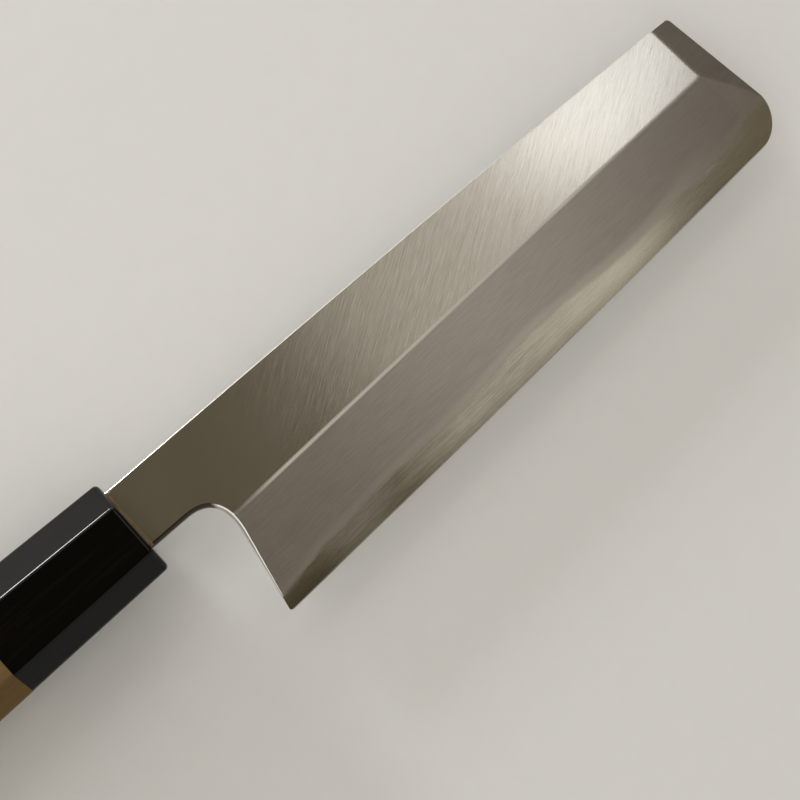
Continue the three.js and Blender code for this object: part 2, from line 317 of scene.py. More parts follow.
eases = np.vstack([np.linspace(EASES[a], EASES[b], len(points)) for points, a, b in SIDES])
print("outline of", len(outline), "points, rounding up to", eases.max(0), "mm")

# %% [markdown]
# ## The ground surfaces
# Three grinds meet on the show side: the flat (hira), which thins towards the tip, the wide bevel
# (kireha) down to the edge, and a short bevel at the tip. A boolean cut could make them, but each
# grind is a plain height over the outline, and the surface is the lowest of the three. A soft
# minimum rounds the ridges by a hair, as the stones do.

# %% Heights of the three grinds
FLAT_TAPER = 0.0042
EDGE_LAND = 0.15
HONED_WIDTH = 0.3
HONED_DROP = math.tan(math.radians(6))
BEVEL_AT_HEEL = 24.1
BEVEL_AT_TIP = 24.3
TIP_BEVEL_AT_SPINE = 6.4
TIP_BEVEL_AT_RIDGE = 8
TIP_BEVEL_DROP = math.tan(math.radians(10.5))
RIDGE_SOFTNESS = 0.05
TIP_SOFTNESS = 0.15
BACK_Z = steel_low.z
EDGE_Z = BACK_Z + EDGE_LAND
FLAT_Z = iron_high.z + FLAT_TAPER * SHOULDER_X


def share_along(x):
    """How far along the edge a station lies: 0 at the heel, 1 at the tip."""
    return (x - heel.x) / (edge_tip.x - heel.x)


def chord(x):
    """The straight line from the heel to the tip's corner."""
    return heel.y + (edge_tip.y - heel.y) * share_along(x)


def edge(x):
    """The cutting edge, bowed out a little from the chord."""
    return chord(x) - 4 * EDGE_CROWN * share_along(x) * (1 - share_along(x))


def ridge(x):
    """The ridge between the flat and the bevel."""
    return chord(x) + BEVEL_AT_HEEL + (BEVEL_AT_TIP - BEVEL_AT_HEEL) * share_along(x)


def flat(x):
    """Height of the flat."""
    return FLAT_Z - FLAT_TAPER * x


def bevel_slope(x):
    """How steeply the bevel climbs from the edge to the ridge."""
    return (flat(x) - EDGE_Z) / (ridge(x) - edge(x))


ridge_end_y = ridge(SPINE_LENGTH)
tip_end_x = SPINE_LENGTH + (spine_tip.y - ridge_end_y) * TIP_SLOPE
tip_low = Vector((tip_end_x - TIP_BEVEL_AT_RIDGE, ridge_end_y))
tip_high = Vector((SPINE_LENGTH - TIP_BEVEL_AT_SPINE, spine_tip.y))
tip_line = (tip_high - tip_low).normalized()


def past_tip_ridge(x, y):
    """How far a point lies beyond the ridge of the tip bevel."""
    return (x - tip_low.x) * tip_line.y - (y - tip_low.y) * tip_line.x


def soft_minimum(a, b, softness):
    """The lower of two heights, rounded where they cross."""
    near = np.maximum(softness - np.abs(a - b), 0) / softness
    return np.minimum(a, b) - near * near * softness / 4


def ground(x, y):
    """Height of the show side before its rim is rounded, with the edge's last hair honed steeper."""
    above_edge = y - edge(x)
    bevel = EDGE_Z + bevel_slope(x) * above_edge - HONED_DROP * np.maximum(HONED_WIDTH - above_edge, 0)
    tip = flat(x) - TIP_BEVEL_DROP * past_tip_ridge(x, y)
    return soft_minimum(soft_minimum(flat(x), bevel, RIDGE_SOFTNESS), tip, TIP_SOFTNESS)


print("flat at", round(FLAT_Z, 3), "mm, tip ridge from", tuple(tip_low), "to", tuple(tip_high))

# %% [markdown]
# ## Where iron meets steel
# The blade is two layers welded at the forge: soft iron on top, hard steel below. Grinding the
# bevel lays the weld open as a misty, wavy line, so it's the one line on the knife that isn't
# straight. Painting it would be enough for a picture, but here the two layers are separate pieces
# that really meet there. The wave is a formula, because the paint needs the same line later.

# %% The wavy weld line
WAVES = ((0.5, 51, 36), (0.8, 110, 71))
WELD_AT_HEEL = 3.3
WELD_CLIMB = 3.2
WELD_CLIMB_LENGTH = 18
WELD_TIP_CLIMB = 3
WELD_TIP_SPAN = (160, 185)
WELD_STEPS = 140
WELD_FADE = 5
OVERSHOOT = 6
NECK_WELD_Z = steel_high.z


def weld_height(x):
    """How far above the edge the weld shows: low at the heel, waving, then climbing at the tip."""
    begun = rise(x, NECK_LENGTH, NECK_LENGTH + WELD_CLIMB_LENGTH)
    waves = sum(size * sine((x - start) * (2 * math.pi / length)) for size, length, start in WAVES)
    return WELD_AT_HEEL + begun * (waves + WELD_CLIMB) + WELD_TIP_CLIMB * rise(x, *WELD_TIP_SPAN)


weld_x = np.linspace(heel.x - OVERSHOOT, edge_tip.x + OVERSHOOT, WELD_STEPS)
weld_y = edge(weld_x) + weld_height(weld_x)
weld_z = ground(weld_x, weld_y)


def weld_line(x):
    """Where the weld shows on the bevel."""
    return np.interp(x, weld_x, weld_y)


def weld_plane(x):
    """Height of the weld inside the blade. Under the neck it is level."""
    begun = rise(x, heel.x - WELD_FADE, heel.x)
    return NECK_WELD_Z + (np.interp(x, weld_x, weld_z) - NECK_WELD_Z) * begun


print("weld from", round(weld_height(20.0), 2), "to", round(weld_height(180.0), 2), "mm above the edge")

# %% [markdown]
# ## The hollow back
# The back of a single-bevel knife is ground hollow (urasuki) inside a narrow flat rim, so food
# falls away and the back can be stoned flat. It is a rounded rectangle whose floor sinks in along a
# gentle slope from the rim.

# %% Distances to an outline, and the hollow
HOLLOW_DEPTH = 0.35
HOLLOW_RIM = 5
HOLLOW_END_RIM = 8
HOLLOW_SLOPE = 9
HOLLOW_RADIUS = 12
HOLLOW_LEAST_RADIUS = 2
HOLLOW_STEPS = 8


def nearest(points, loop):
    """For each point, its distance to a closed loop and the place of the nearest spot on it."""
    sides = np.roll(loop, -1, axis=0) - loop
    lengths = np.maximum((sides**2).sum(1), 1e-12)
    best = np.full(len(points), np.inf)
    spot = np.zeros(len(points))
    for i, (start, side, length) in enumerate(zip(loop, sides, lengths)):
        share = np.clip(((points - start) @ side) / length, 0, 1)
        gap = np.hypot(*(points - start - share[:, None] * side).T)
        closer = gap < best
        best[closer] = gap[closer]
        spot[closer] = i + share[closer]
    return best, spot


def inside(points, loop):
    """Which points lie inside a closed loop: a ray to the right crosses it an odd number of times."""
    result = np.zeros(len(points), bool)
    for (ax, ay), (bx, by) in zip(loop, np.roll(loop, -1, axis=0)):
        if ay != by:
            across = (ay > points[:, 1]) != (by > points[:, 1])
            result ^= across & (points[:, 0] < (bx - ax) * (points[:, 1] - ay) / (by - ay) + ax)
    return result


def hollow_loop(inset):
    """The hollow's outline, moved in by an inset."""
    low = HOLLOW_RIM + inset
    end = HOLLOW_END_RIM + inset
    corners = [
        heel + Vector((end, low)),
        edge_tip + Vector((-end, low)),
        spine_tip + Vector((-low, -low)),
        Vector((choil.x + low, SPINE_OFFSET - low)),
    ]
    radius = max(HOLLOW_RADIUS - inset, HOLLOW_LEAST_RADIUS)
    nexts = corners[1:] + corners[:1]
    rings = [arc(c, corners[i - 1], nexts[i], radius, HOLLOW_STEPS) for i, c in enumerate(corners)]
    return np.array([tuple(point) for ring in rings for point in ring])


hollow_rim = hollow_loop(0)


def back(points):
    """Height of the back: flat on the rim, sinking into the hollow."""
    depth, _ = nearest(points, hollow_rim)
    share = np.where(inside(points, hollow_rim), np.clip(depth / HOLLOW_SLOPE, 0, 1), 0)
    return BACK_Z + HOLLOW_DEPTH * share * (2 - share)


print("hollow", HOLLOW_DEPTH, "mm deep inside", len(hollow_rim), "points")

# %% [markdown]
# ## One net for both layers
# Both layers share the same outline, so one flat net of triangles serves both. It is cut along
# every line that matters: the outline, rings for the rounded rim, the ridges, the weld line and the
# hollow. Constrained Delaunay triangulation keeps those lines as edges. Lifting the net to the
# heights above gives clean, closed pieces that share their points along the weld.

# %% Lines that cut the net
RING_SHARES = [1 - math.cos(math.radians(angle)) for angle in (25, 45, 65, 90)]
RIDGE_OFFSETS = (-0.3, -0.1, 0.1, 0.3)
TIP_OFFSETS = (-0.8, -0.4, 0, 0.4, 0.8)
STATION_STEP = 9
RIDGE_STEPS = 40
HOLLOW_RINGS = 6
LEAST_ROUND = 0.02
LINE_ENDS = (0.5, 4)
NET_MARGIN = 5

net_points = []
net_edges = []


def add_line(points, closed=False):
    """Adds a line of points to the net."""
    first = len(net_points)
    net_points.extend(Vector((float(x), float(y))) for x, y in points)
    last = len(net_points) - 1
    net_edges.extend((i, i + 1) for i in range(first, last))
    if closed:
        net_edges.append((last, first))


def inward(loop):
    """The direction into the shape at each point of an anticlockwise loop."""
    sides = np.roll(loop, -1, axis=0) - loop
    sides /= np.hypot(*sides.T)[:, None]
    normals = np.stack([-sides[:, 1], sides[:, 0]], axis=1)
    middle = normals + np.roll(normals, 1, axis=0)
    return middle / np.maximum((middle * normals).sum(1), 0.5)[:, None]


add_line(outline, closed=True)
leans = inward(outline)
rounded = eases[:, 0] > LEAST_ROUND
for share in RING_SHARES:
    ring = outline + leans * eases[:, :1] * share
    for i in range(len(ring)):
        after = (i + 1) % len(ring)
        if rounded[i] and rounded[after]:
            add_line([ring[i], ring[after]])
for offset in RIDGE_OFFSETS:
    along = np.linspace(heel.x - OVERSHOOT, edge_tip.x + OVERSHOOT, RIDGE_STEPS)
    add_line(zip(along, ridge(along) + offset))
for offset in TIP_OFFSETS:
    level = Vector((tip_line.y, -tip_line.x)) * offset
    add_line([tip_low - tip_line * LINE_ENDS[0] + level, tip_high + tip_line * LINE_ENDS[1] + level])
add_line(zip(weld_x, weld_y))
add_line(zip(weld_x, edge(weld_x) + HONED_WIDTH))
for inset in np.linspace(0, HOLLOW_SLOPE, HOLLOW_RINGS):
    add_line(hollow_loop(inset), closed=True)
for station in np.arange(SHOULDER_X + STATION_STEP, edge_tip.x, STATION_STEP):
    add_line([(station, heel.y - NET_MARGIN), (station, spine_tip.y + NET_MARGIN)])
print("net cut along", len(net_edges), "edges")


# %% The corner where the bevel meets the tip bevel
CORNER_POINTS = 10
CORNER_OVERSHOOT = 4


def tip_corner(x):
    """Where the bevel and the tip bevel are equally high, from the ridge to the tip's end."""
    tip_at_zero = flat(x) - TIP_BEVEL_DROP * past_tip_ridge(x, 0)
    bevel_at_zero = EDGE_Z - bevel_slope(x) * edge(x)
    return (tip_at_zero - bevel_at_zero) / (bevel_slope(x) - TIP_BEVEL_DROP * tip_line.x)


for offset in TIP_OFFSETS:
    along = np.linspace(tip_low.x, edge_tip.x + CORNER_OVERSHOOT, CORNER_POINTS)
    add_line(zip(along, tip_corner(along) + offset))
print("tip corner ends at y =", round(float(tip_corner(edge_tip.x)), 2))

# %% Triangulate and keep what lies inside
NET_TOLERANCE = 1e-4
cut = geometry.delaunay_2d_cdt(net_points, net_edges, [], 0, NET_TOLERANCE)
net = np.array([tuple(point) for point in cut[0]])
triangles = np.array(cut[2])
middles = net[triangles].mean(1)
triangles = triangles[inside(middles, outline)]
middles = net[triangles].mean(1)
sides = net[triangles[:, 1:]] - net[triangles[:, :1]]
turned = np.cross(sides[:, 0], sides[:, 1]) < 0
triangles[turned] = triangles[turned][:, ::-1]
print("net of", len(net), "points and", len(triangles), "triangles")

# %% [markdown]
# ## Lifting the net
# The rounded rim is a quarter of an ellipse, worked out from how far a point lies from the outline.
# It may not cut below the weld, so it fades out down the heel, as it does on the real knife.

# %% Heights for every point of the net
RIM_LIMIT = 0.8
ON_LINE = 1e-3

rim_gap, rim_spot = nearest(net, outline)
rim_from = rim_spot.astype(int) % len(outline)
rim_to = (rim_from + 1) % len(outline)
rim_share = (rim_spot % 1)[:, None]
rim_ease = eases[rim_from] * (1 - rim_share) + eases[rim_to] * rim_share
rim_reach = np.clip(1 - rim_gap / np.maximum(rim_ease[:, 0], 1e-6), 0, 1)
rim_drop = rim_ease[:, 1] * (1 - np.sqrt(1 - rim_reach**2))

raw_top = ground(net[:, 0], net[:, 1])
weld_top = weld_plane(net[:, 0])
above_weld = net[:, 1] - weld_line(net[:, 0])
is_iron = above_weld > ON_LINE
on_weld = np.abs(above_weld) <= ON_LINE
iron_top = raw_top - np.minimum(rim_drop, RIM_LIMIT * np.maximum(raw_top - weld_top, 0))
iron_top = np.where(on_weld, weld_top, iron_top)
steel_top = np.where(is_iron | on_weld, weld_top, raw_top)
back_z = back(net)
print("iron up to", round(iron_top[is_iron].max(), 3), "mm, hollow to", round(back_z.max(), 3), "mm")

# %% Closed pieces from a net and two heights
SAME_HEIGHT = 1e-6


def mesh_piece(name, points, faces):
    """A new object from points and faces."""
    mesh = bpy.data.meshes.new(name)
    mesh.from_pydata(points, [], faces)
    piece = bpy.data.objects.new(name, mesh)
    scene.collection.objects.link(piece)
    return piece


def lifted(name, faces, top, bottom, top_paint, bottom_paint, wall_paint):
    """A closed mesh between two heights over the net. Where they meet, they share their points."""
    used = np.unique(faces)
    meets = np.abs(top - bottom) < SAME_HEIGHT
    upper = {v: i for i, v in enumerate(used)}
    lower = dict(upper)
    points = [place(*net[v], top[v]) for v in used]
    for v in used:
        if not meets[v]:
            lower[v] = len(points)
            points.append(place(*net[v], bottom[v]))
    polygons = []
    paints = []
    edges = {}
    for face, paint in zip(faces, top_paint):
        polygons.append([upper[v] for v in face])
        paints.append(paint)
        polygons.append([lower[v] for v in reversed(face)])
        paints.append(bottom_paint)
        for a, b in zip(face, np.roll(face, -1)):
            edges[a, b] = True
    for a, b in edges:
        wall = [upper[b], upper[a], lower[a], lower[b]]
        corners = list(dict.fromkeys(wall))
        if (b, a) not in edges and len(corners) > 2:
            polygons.append(corners)
            paints.append(wall_paint)
    piece = mesh_piece(name, points, polygons)
    piece.data.polygons.foreach_set("material_index", paints)
    return piece


print("ready to lift", len(triangles), "triangles")

# %% [markdown]
# ## The two layers
# Each face is given its finish by where it lies: the flat, the stoned bevels, the polished rim or
# the back.

# %% Iron body and steel layer
SATIN, STONED, RIM = range(3)
STRIP, HOLLOW, SIDE = range(3)

is_upper = (middles[:, 1] > weld_line(middles[:, 0])) & ~on_weld[triangles].all(1)
middle_gap, middle_spot = nearest(middles, outline)
middle_from = middle_spot.astype(int) % len(outline)
on_rim = middle_gap < eases[middle_from, 0]
on_flat = (middles[:, 1] > ridge(middles[:, 0])) & (past_tip_ridge(*middles.T) < 0)
iron_paint = np.where(on_rim, RIM, np.where(on_flat, SATIN, STONED))
iron_faces = triangles[is_upper].tolist()
blade_body = lifted("blade_body", iron_faces, iron_top, weld_top, iron_paint[is_upper], RIM, RIM)
strip_paint = np.where(is_upper, SIDE, STRIP)
edge_layer = lifted("edge_layer", triangles.tolist(), steel_top, back_z, strip_paint, HOLLOW, SIDE)
for piece in (blade_body, edge_layer):
    print(piece.name, len(piece.data.polygons), "faces")

# %% [markdown]
# ## The tang
# The iron runs on into a long tang that is burned into the wood. It can't be seen, but the blade
# isn't whole without it. A tapered bar joins the neck by a boolean union, so the iron stays one
# closed body.

# %% Bars and blocks
TANG_ROOT = (8.5, 2.4)
TANG_END = (4.5, 1.8)
TANG_LIFT = 0.15
TANG_END_X = iron_low.x


def lofted(name, sections):
    """A closed skin over sections that run anticlockwise seen from +x and go towards +x."""
    count = len(sections[0])
    points = [point for section in sections for point in section]
    faces = [list(range(count))[::-1], list(range(len(points) - count, len(points)))]
    for base in range(0, len(points) - count, count):
        for i in range(count):
            after = (i + 1) % count
            faces.append([base + i, base + after, base + count + after, base + count + i])
    return mesh_piece(name, points, faces)


def tang_bar(name, from_x, to_x, gap):
    """The tang between two stations, grown by a gap to make the hole that takes it."""
    sections = []
    for x in (from_x, to_x):
        share = (x - TANG_END_X) / (SHOULDER_X - TANG_END_X)
        half = (TANG_END[0] + (TANG_ROOT[0] - TANG_END[0]) * share) / 2 + gap
        low = NECK_WELD_Z + TANG_LIFT - gap
        high = NECK_WELD_Z + TANG_LIFT + TANG_END[1] + (TANG_ROOT[1] - TANG_END[1]) * share + gap
        sections.append([(x, -half, low), (x, half, low), (x, half, high), (x, -half, high)])
    return lofted(name, sections)


def block(name, low, high):
    """A box between two corners."""
    ends = [[(x, low[1], low[2]), (x, high[1], low[2]), (x, high[1], high[2]), (x, low[1], high[2])]
            for x in (low[0], high[0])]
    return lofted(name, ends)


def to_frame(piece):
    """Moves a mesh written in millimetres from the mouth to its place in the shared frame."""
    piece.data.transform(Matrix.Translation(MOUTH) @ Matrix.Scale(MM, 4))


print("tang from", round(TANG_END_X, 1), "mm to the neck")

# %% [markdown]
# A modifier is a recipe that Blender cooks again after every change. The finished pieces have to be
# plain meshes, so each recipe is cooked once, its result is kept and the recipe is thrown away.

# %% Modifiers turned into plain mesh
NORMAL_WEIGHT = 70


def bake(piece):
    """Turns a piece's modifiers into plain mesh."""
    graph = bpy.context.evaluated_depsgraph_get()
    result = bpy.data.meshes.new_from_object(
        piece.evaluated_get(graph), preserve_all_data_layers=True, depsgraph=graph
    )
    piece.modifiers.clear()
    piece.data = result


def carve(piece, operation, tool):
    """Joins a tool to a piece or cuts it out, and throws the tool away."""
    cut = piece.modifiers.new("carve", "BOOLEAN")
    cut.operation = operation
    cut.solver = "EXACT"
    cut.object = tool
    bake(piece)
    bpy.data.objects.remove(tool)


def clean_shading(piece, sharpest):
    """Smooth shading that keeps flats flat: large faces rule, and steep edges stay sharp."""
    piece.data.shade_smooth()
    piece.data.set_sharp_from_angle(angle=math.radians(sharpest))
    weigh = piece.modifiers.new("weigh", "WEIGHTED_NORMAL")
    weigh.mode = "FACE_AREA"
    weigh.weight = NORMAL_WEIGHT
    weigh.keep_sharp = True
    bake(piece)


print("large faces weigh", NORMAL_WEIGHT, "of 100 in the shading")


# %% A dressed piece stands for its node
def finished(piece, node, slot, *finishes):
    """Gives a piece its finishes and lets it stand for a construction node."""
    while len(piece.data.materials) < len(finishes):
        piece.data.materials.append(None)
    for i, finish in enumerate(finishes):
        piece.data.materials[i] = finish
    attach(piece, "root")
    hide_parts(node)
    print(piece.name, len(piece.data.polygons), "faces for", node)


print("nodes to stand for:", len(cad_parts))

# %% Join the tang and set the blade's shading
SHARP_EDGE = 35
SHARP_WELD = 6

tang = tang_bar("tang", TANG_END_X, NECK_LENGTH / 2, 0)
for piece in (blade_body, tang):
    for _ in (SATIN, STONED, RIM):
        piece.data.materials.append(None)
tang.data.polygons.foreach_set("material_index", [RIM] * len(tang.data.polygons))
to_frame(tang)
carve(blade_body, "UNION", tang)
clean_shading(blade_body, SHARP_EDGE)
clean_shading(edge_layer, SHARP_WELD)
print("blade box in mm:", [round(d / MM, 2) for d in blade_body.dimensions])

# %% [markdown]
# ## Finishes of the blade
# Nothing on the blade is mirror bright. The flat is rubbed with a fine abrasive at a slant, the
# bevel is stoned along its length, and only the rounded rim is polished. Each finish is fine
# streaks of noise, stretched along the strokes. They move the roughness a little, tint the metal a
# little and tilt the surface by a degree or so, which is what makes satin steel glitter.


# %% Tools for finishes
def start_finish(name):
    """A new material, its shader and its coordinates in millimetres from the mouth."""
    material = bpy.data.materials.new(name)
    material.use_nodes = True
    tree = material.node_tree
    shader = tree.nodes["Principled BSDF"]
    where = Wire.node(tree, "ShaderNodeTexCoord", out="Object")
    spread = {"Vector": where, "Location": -MOUTH / MM, "Scale": (1 / MM, 1 / MM, 1 / MM)}
    return material, shader, Wire.node(tree, "ShaderNodeMapping", {}, spread)


def axes(where):
    """The three coordinates of a place."""
    first = Wire.node(where.tree, "ShaderNodeSeparateXYZ", {}, {"Vector": where})
    return [Wire(socket) for socket in first.socket.node.outputs]


def noise(where, size, turn=0.0, shift=0.0, detail=2.0):
    """Noise stretched to grains of a size (along, across, deep), turned in the plane of the blade."""
    frame_of_grain = {
        "Vector": where,
        "Location": (shift, shift, shift),
        "Rotation": (0, 0, math.radians(turn)),
        "Scale": size,
    }
    grain = Wire.node(where.tree, "ShaderNodeMapping", {"vector_type": "TEXTURE"}, frame_of_grain)
    sockets = {"Vector": grain, "Scale": 1, "Detail": detail, "Roughness": 0.6}
    return Wire.node(where.tree, "ShaderNodeTexNoise", {}, sockets)


def blend(factor, a, b):
    """A mix of two colours."""
    colours = {0: factor}
    for socket, colour in ((6, a), (7, b)):
        colours[socket] = colour if isinstance(colour, Wire) else (*colour, 1)
    return Wire.node(factor.tree, "ShaderNodeMix", {"data_type": "RGBA"}, colours, out=2)


def ridges(height, depth):
    """A surface normal tilted by a height of 0 to 1, as deep as given in millimetres."""
    return Wire.node(height.tree, "ShaderNodeBump", {}, {"Height": height, "Distance": depth * MM})


def set_shader(shader, values):
    """Plain values and links on a shader's own sockets."""
    for name, value in values.items():
        if isinstance(value, Wire):
            value.tree.links.new(value.socket, shader.inputs[name])
        else:
            shader.inputs[name].default_value = value


print("finishes are written in millimetres, 1 m =", round(1 / MM), "mm")

# %% The satin flat
SATIN_TURN = 31
SATIN_BRIGHT = (0.75, 0.73, 0.70)
SATIN_DARK = (0.565, 0.543, 0.503)
SCRATCH_DARK = (0.46, 0.435, 0.395)
# Painted glints: some scratches are tinted bright with this colour.
SCRATCH_GLINT = (0.90, 0.88, 0.84)
# Pale steel of the ridge and the honed edge: partly wear, partly painted highlight.
WORN_AND_HIGHLIT_STEEL = (0.92, 0.90, 0.85)
SCRATCH_MASK = (0.54, 0.7)
RUBBED_FROM = (22, 65)
RUBBED_FADE = (80, 135)
RIDGE_MARK_FROM = (14, 34)
RIDGE_MARK_FADE = (120, 152)
RIDGE_MARK_END = (-1.5, -0.2)
RIDGE_MARK_WIDTH = (0.15, 0.65)


def worn_ridge_and_highlight(x, y):
    """1 on the worn ridge and its painted highlight, less at the heel and towards the tip, and 0 away
    from it.
    """
    before_tip = 1 - rise(past_tip_ridge(x, y), *RIDGE_MARK_END)
    along = rise(x, *RIDGE_MARK_FROM) * (1 - 0.7 * rise(x, *RIDGE_MARK_FADE)) * before_tip
    return (1 - rise(abs(y - ridge(x)), *RIDGE_MARK_WIDTH)) * along


def satin_flat():
    """Fine slanting strokes, a few long scratches with painted glints, and a ridge worn pale by the
    stones with a painted highlight on it.
    """
    material, shader, where = start_finish("satin_flat")
    x, y, _ = axes(where)
    strokes = noise(where, (4, 0.17, 4), turn=SATIN_TURN, shift=3, detail=3)
    scratches = noise(where, (12, 0.24, 4), turn=SATIN_TURN + 3, shift=11)
    deep = rise(noise(where, (6, 0.2, 4), turn=SATIN_TURN - 2, shift=47), *SCRATCH_MASK)
    glint = rise(noise(where, (6, 0.2, 4), turn=SATIN_TURN + 2, shift=67), *SCRATCH_MASK)
    cloud = noise(where, (30, 9, 9), turn=SATIN_TURN, shift=23)
    # worn marks the ridge: partly wear, partly a painted highlight.
    worn = worn_ridge_and_highlight(x, y)
    rubbed = 0.2 + 0.8 * rise(x, *RUBBED_FROM) * (1 - 0.64 * rise(x, *RUBBED_FADE))
    shine = 0.5 + ((strokes + scratches) * 0.5 - 0.5) * rubbed * 2
    steel = blend(deep * rubbed * 0.45, blend(shine, SATIN_DARK, SATIN_BRIGHT), SCRATCH_DARK)
    # glint paints highlights along some scratches.
    steel = blend(glint * rubbed * 0.45, steel, SCRATCH_GLINT)
    set_shader(shader, {
        "Base Color": blend(worn * 0.85, steel, WORN_AND_HIGHLIT_STEEL),
        "Metallic": 1,
        "Roughness": 0.17 + 0.05 * cloud + 0.04 * strokes + 0.35 * worn,
        "Normal": ridges((strokes + scratches - deep + glint) * rubbed, 0.004),
    })
    return material


print("satin strokes lie at", SATIN_TURN, "degrees to the blade")

# %% The stoned bevel and the hard strip
IRON_DARK = (0.56, 0.525, 0.515)
IRON_BRIGHT = (0.66, 0.622, 0.607)
# Painted shade: the bevel's iron is darkened towards the tip with this colour.
IRON_SHADE = (0.30, 0.285, 0.275)
MIST = (0.76, 0.735, 0.71)
STEEL_DARK = (0.49, 0.467, 0.43)
STEEL_BRIGHT = (0.71, 0.68, 0.63)
# Painted light: the steel strip is brightened towards this colour along the blade.
STEEL_PAINTED_LIGHT = (0.98, 0.945, 0.885)
EDGE_BROWN = (0.36, 0.33, 0.275)
TO_TIP = (135, 178)
IRON_SHADE_SPAN = (70, 160)
STRIP_LIGHT_FROM = (85, 130)
STRIP_LIGHT_DIP = (135, 150)
STRIP_LIGHT_AGAIN = (152, 176)
CORNER_ALONG = (18, 32)
CORNER_ABOVE = (2, 5)
BROWN_ABOVE = (0, 3.5)
HONED_HIGHLIGHT_ABOVE = (0.15, 0.4)
DULL_FROM = (22, 34)
DULL_TO = (38, 52)


def soft_iron(x, y, streaks, mist):
    """Grey iron with painted shade that darkens it towards the tip, pale where the mist of the weld
    lies on it.
    """
    # How much painted shade lies on the iron, growing towards the tip.
    iron_shade = rise(x, *IRON_SHADE_SPAN) * (0.37 - 0.1 * rise(past_tip_ridge(x, y), 0, 1))
    iron = blend(iron_shade, blend(streaks, IRON_DARK, IRON_BRIGHT), IRON_SHADE)
    return blend(mist * 0.6, iron, MIST)


def hard_steel(x, above_edge, streaks, to_tip):
    """Streaked steel with painted light along it, brightest before the tip, browned along the edge and
    in the heel's corner.
    """
    # clear is painted light: it brightens the strip along the blade, with a dip before the tip.
    clear = rise(x, *STRIP_LIGHT_FROM) * (1 - 0.5 * rise(x, *STRIP_LIGHT_DIP) + 0.4 * rise(x, *STRIP_LIGHT_AGAIN))
    steel = blend(clear * 0.65, blend(streaks, STEEL_DARK, STEEL_BRIGHT), STEEL_PAINTED_LIGHT)
    corner = (1 - rise(x, *CORNER_ALONG)) * (1 - rise(above_edge, *CORNER_ABOVE))
    brown = (1 - rise(above_edge, *BROWN_ABOVE)) * (1 - 0.8 * to_tip)
    return blend(brown * 0.48 + corner * 0.42, steel, EDGE_BROWN)


def stoned_bevel(name):
    """Misty iron above the weld, clearer steel below it. Both layers of the blade wear it."""
    material, shader, where = start_finish(name)
    x, y, _ = axes(where)
    lean = math.degrees(math.atan2(edge_tip.y - heel.y, edge_tip.x - heel.x))
    strokes = noise(where, (6, 0.36, 4), turn=lean, shift=5, detail=3)
    bands = noise(where, (60, 2.6, 4), turn=lean, shift=17, detail=1)
    cloud = noise(where, (14, 5, 5), turn=lean, shift=29)
    above_edge = y - edge(x)
    to_tip = rise(x, *TO_TIP)
    ragged = bands - 0.5 + (cloud - 0.5) + (strokes - 0.5)
    above = (above_edge - weld_height(x) + ragged) / (1 + 2.5 * to_tip)
    iron = rise(above, -0.9, 0.9)
    mist = rise(above, -1, 0.8) * (1 - rise(above, 0.8, 2.8)) * (1 - to_tip)
    streaks = rise(strokes, 0.35, 0.65) * 0.7 + bands * 0.3
    soft = soft_iron(x, y, streaks, mist)
    hard = hard_steel(x, above_edge, streaks, to_tip)
    # worn marks the ridge: partly wear, partly a painted highlight.
    worn = worn_ridge_and_highlight(x, y)
    # The honed edge is partly polish, partly a painted highlight: a pale colour along the edge.
    honed = 1 - rise(above_edge, *HONED_HIGHLIGHT_ABOVE)
    dull = rise(x, *DULL_FROM) * (1 - rise(x, *DULL_TO)) * (1 - iron)
    set_shader(shader, {
        "Base Color": blend(worn * 0.8 + honed * 0.3, blend(iron, hard, soft), WORN_AND_HIGHLIT_STEEL),
        "Metallic": 1,
        "Roughness": 0.17 + 0.13 * iron + 0.12 * dull + 0.06 * cloud + 0.3 * worn + 0.12 * honed,
        "Normal": ridges(strokes, 0.005),
    })
    return material


print("the steel's paint reaches", round(weld_height(100.0), 1), "mm above the edge in the middle")

# %% The polished rim and the hollow back
# Painted shade: a dark brown band along the rim under the neck.
NECK_SHADE_BROWN = (0.07, 0.058, 0.043)
RIM_DARK = (0.60, 0.575, 0.53)
RIM_BRIGHT = (0.70, 0.68, 0.64)
NECK_SHADE_ALONG = (15, 16.3)
NECK_SHADE_LOW = (-3.2, -2)
NECK_SHADE_HIGH = (2, 4)
WHEEL_TURN = 82
WHEEL_DARK = (0.56, 0.545, 0.51)
WHEEL_BRIGHT = (0.70, 0.69, 0.66)
STONED_RIM = (0.72, 0.71, 0.68)
SUNK = (0.01, 0.06)


def polished_rim(name):
    """Rounded over and polished. Under the neck a painted shade darkens it."""
    material, shader, where = start_finish(name)
    x, y, _ = axes(where)
    strokes = noise(where, (12, 0.3, 0.3), shift=7)
    above_neck = y - NECK_LOW
    # skin here is the mask of the painted shade under the neck, dark and a little rougher.
    skin = (1 - rise(x, *NECK_SHADE_ALONG)) * rise(above_neck, *NECK_SHADE_LOW) * (1 - rise(above_neck, *NECK_SHADE_HIGH))
    set_shader(shader, {
        "Base Color": blend(skin, blend(strokes, RIM_DARK, RIM_BRIGHT), NECK_SHADE_BROWN),
        "Metallic": 1,
        "Roughness": 0.14 + 0.12 * strokes + 0.2 * skin,
        "Normal": ridges(strokes, 0.002),
    })
    return material


